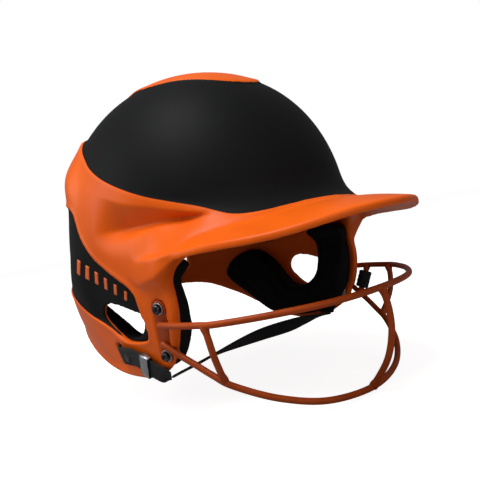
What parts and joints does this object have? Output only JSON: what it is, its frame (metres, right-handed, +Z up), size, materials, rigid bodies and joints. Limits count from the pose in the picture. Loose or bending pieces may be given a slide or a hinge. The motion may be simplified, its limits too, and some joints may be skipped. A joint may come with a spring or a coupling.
{
  "type": "batting helmet",
  "caption": "Batting helmet with a domed shell, ear flaps, curved brim, U-shaped foam jaw pads, a welded wire face guard and a webbing chin strap.",
  "frame": {"origin": "midpoint between the two ear holes, where the wearer's ears are", "axes": "+X the way the wearer faces, +Y the wearer's left, +Z up through the crown"},
  "size_m": [0.294, 0.206, 0.233],
  "materials": {
    "shell_paint": "satin orange paint with matte black panels",
    "foam": "matte closed-cell foam",
    "guard_paint": "satin powder coat",
    "sleeve_rubber": "matte",
    "dark_steel": "black oxide",
    "bright_steel": "plated",
    "webbing": "woven"
  },
  "bodies": {
    "helmet": {"shell": "shell_paint", "crown_pad": "foam", "forehead_pad": "foam", "rear_pad": "foam", "left_side_pad": "foam", "right_side_pad": "foam", "left_jaw_pad": "foam", "right_jaw_pad": "foam", "guard_upper_wire": "guard_paint", "guard_lower_wire": "guard_paint", "guard_centre_upright": "guard_paint", "left_cheek_upright": "guard_paint", "right_cheek_upright": "guard_paint", "left_side_upright": "guard_paint", "left_sleeve": "sleeve_rubber", "left_guard_plate": "guard_paint", "right_guard_plate": "guard_paint", "guard_screws": "dark_steel", "guard_washers": "bright_steel", "guard_nuts": "bright_steel", "near_strap_tab": "webbing", "far_strap_tab": "webbing", "strap_rivets": "dark_steel"},
    "strap": {"chin_strap": "webbing"},
    "keeper": {"strap_keeper": "bright_steel"}
  },
  "joints": [
    {"name": "strap_swing", "type": "hinge", "parent": "helmet", "child": "strap", "pos_m": [0.0383, 0, -0.0365], "axis": [-0.0592, 0.9982, -0.0012], "range_deg": [-30, 16]},
    {"name": "keeper_slide", "type": "slide", "parent": "helmet", "child": "keeper", "axis": [0.9016, 0.1002, -0.4208], "range_m": [-0.002, 0.002]}
  ]
}
